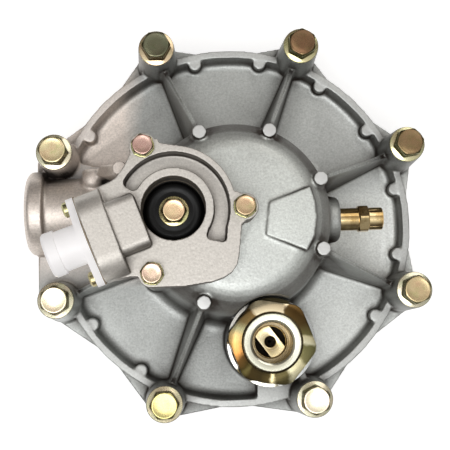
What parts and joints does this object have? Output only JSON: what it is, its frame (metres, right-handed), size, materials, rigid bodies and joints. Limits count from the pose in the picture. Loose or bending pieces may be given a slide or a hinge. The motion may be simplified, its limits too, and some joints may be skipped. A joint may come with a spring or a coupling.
{
  "type": "gas_pressure_regulator",
  "caption": "Cast aluminium diaphragm gas regulator with a brass inlet, side outlet port, primer button and a small solenoid valve",
  "frame": {"origin": "centre of the rear face, on the axis of the diaphragm", "axes": "+Z along the diaphragm axis from the rear cover to the front casting; -X towards the outlet port; +Y up as the front is usually drawn"},
  "size_m": [0.1588, 0.1552, 0.0931],
  "materials": {
    "cast_aluminium": "as cast, fine blasted texture",
    "zinc_yellow": "yellow chromate zinc plate, slightly iridescent",
    "brass": "machined",
    "sintered_brass": "matte, porous",
    "black_rubber": "smooth nitrile",
    "white_nylon": "satin moulded",
    "plain_zinc": "bright zinc plate",
    "spring_steel": "drawn wire",
    "gasket_fibre": "compressed fibre sheet",
    "soft_washer": "soft annealed",
    "copper_winding": "enamelled wire"
  },
  "bodies": {
    "housing": {"front_casting": "cast_aluminium", "rear_cover": "cast_aluminium", "vent_screen": "sintered_brass", "cover_bolts": "zinc_yellow", "diaphragm_bead": "black_rubber", "diaphragm_web": "black_rubber", "lever_pin": "plain_zinc", "valve_seat": "brass", "inlet_fitting": "brass", "inlet_washer": "soft_washer", "inlet_plug": "brass", "inlet_screen": "sintered_brass", "side_nipple": "brass", "primer_cover": "cast_aluminium", "primer_cover_bolts": "zinc_yellow", "primer_gasket": "gasket_fibre", "primer_spring": "spring_steel", "solenoid_gasket": "gasket_fibre", "solenoid_housing": "white_nylon", "solenoid_cap": "white_nylon", "solenoid_screws": "zinc_yellow", "solenoid_bobbin": "white_nylon", "solenoid_coil": "copper_winding", "solenoid_core": "plain_zinc"},
    "diaphragm": {"diaphragm_plate_front": "plain_zinc", "diaphragm_plate_rear": "plain_zinc", "diaphragm_stud": "plain_zinc", "diaphragm_nut": "plain_zinc"},
    "lever": {"valve_lever": "plain_zinc", "lever_spring": "spring_steel", "pad_holder": "brass", "valve_pad": "black_rubber"},
    "primer": {"primer_cup": "black_rubber", "primer_washer": "plain_zinc", "primer_bolt": "zinc_yellow", "primer_nut": "plain_zinc"},
    "plunger": {"solenoid_plunger": "plain_zinc", "solenoid_seal": "black_rubber", "solenoid_spring": "spring_steel"}
  },
  "joints": [
    {"name": "diaphragm_stroke", "type": "slide", "parent": "housing", "child": "diaphragm", "axis": [0, 0, 1], "range_m": [0, 0.006], "stiffness_N_per_m": 60, "springref_m": -0.012, "deforming": ["diaphragm_web"]},
    {"name": "lever_turn", "type": "hinge", "parent": "housing", "child": "lever", "pos_m": [0.00932, -0.03477, 0.0225], "axis": [0.9659, 0.2588, 0], "range_deg": [0, 9.8]},
    {"name": "primer_press", "type": "slide", "parent": "housing", "child": "primer", "axis": [0, 0, -1], "range_m": [0, 0.003], "stiffness_N_per_m": 1500, "springref_m": -0.002, "deforming": ["primer_spring"]},
    {"name": "plunger_stroke", "type": "slide", "parent": "housing", "child": "plunger", "axis": [-0.9397, -0.342, 0], "range_m": [0, 0.0025], "stiffness_N_per_m": 400, "springref_m": -0.002}
  ],
  "couplings": [
    {"joint": "lever_turn", "follows": "diaphragm_stroke", "rad_per_m": 27.8}
  ]
}
